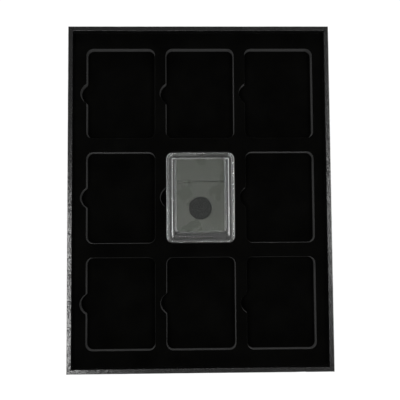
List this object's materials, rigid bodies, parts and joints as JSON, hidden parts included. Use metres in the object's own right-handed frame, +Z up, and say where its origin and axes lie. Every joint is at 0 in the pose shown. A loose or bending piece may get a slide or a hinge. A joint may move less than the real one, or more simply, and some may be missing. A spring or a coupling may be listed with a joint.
{
  "type": "coin slab tray",
  "caption": "Shallow leatherette-covered tray with a flocked insert of notched rectangular seats that hold slabbed coins flat, and a clear empty slab in the middle seat.",
  "frame": {"origin": "centre of the underside, on the surface the tray lies on", "axes": "+Z up out of the seats, +Y along the long side towards the label end of the slab, +X to the right, away from the finger notches"},
  "size_m": [0.2414, 0.3174, 0.0175],
  "materials": {
    "greyboard": "raw board",
    "stay_paper": "gummed paper",
    "lining_paper": "matt",
    "leatherette": "grained, satin",
    "black_flock": "flocked",
    "clear_plastic": "clear",
    "frosted_plastic": "frosted"
  },
  "bodies": {
    "tray": {"base_board": "greyboard", "wall_left": "greyboard", "wall_right": "greyboard", "wall_front": "greyboard", "wall_back": "greyboard", "corner_stays": "stay_paper", "base_lining": "lining_paper", "flocked_insert": "black_flock", "wrap_left": "leatherette", "wrap_right": "leatherette", "wrap_front": "leatherette", "wrap_back": "leatherette"},
    "slab": {"slab_rear_shell": "clear_plastic", "slab_core": "frosted_plastic"},
    "slab_front": {"slab_front_shell": "clear_plastic"}
  },
  "joints": [
    {"name": "slab_lift", "type": "slide", "parent": "tray", "child": "slab", "axis": [0, 0, 1], "range_m": [0, 0.05]},
    {"name": "front_shell_lift", "type": "slide", "parent": "slab", "child": "slab_front", "axis": [0, 0, 1], "range_m": [0, 0.03]}
  ]
}
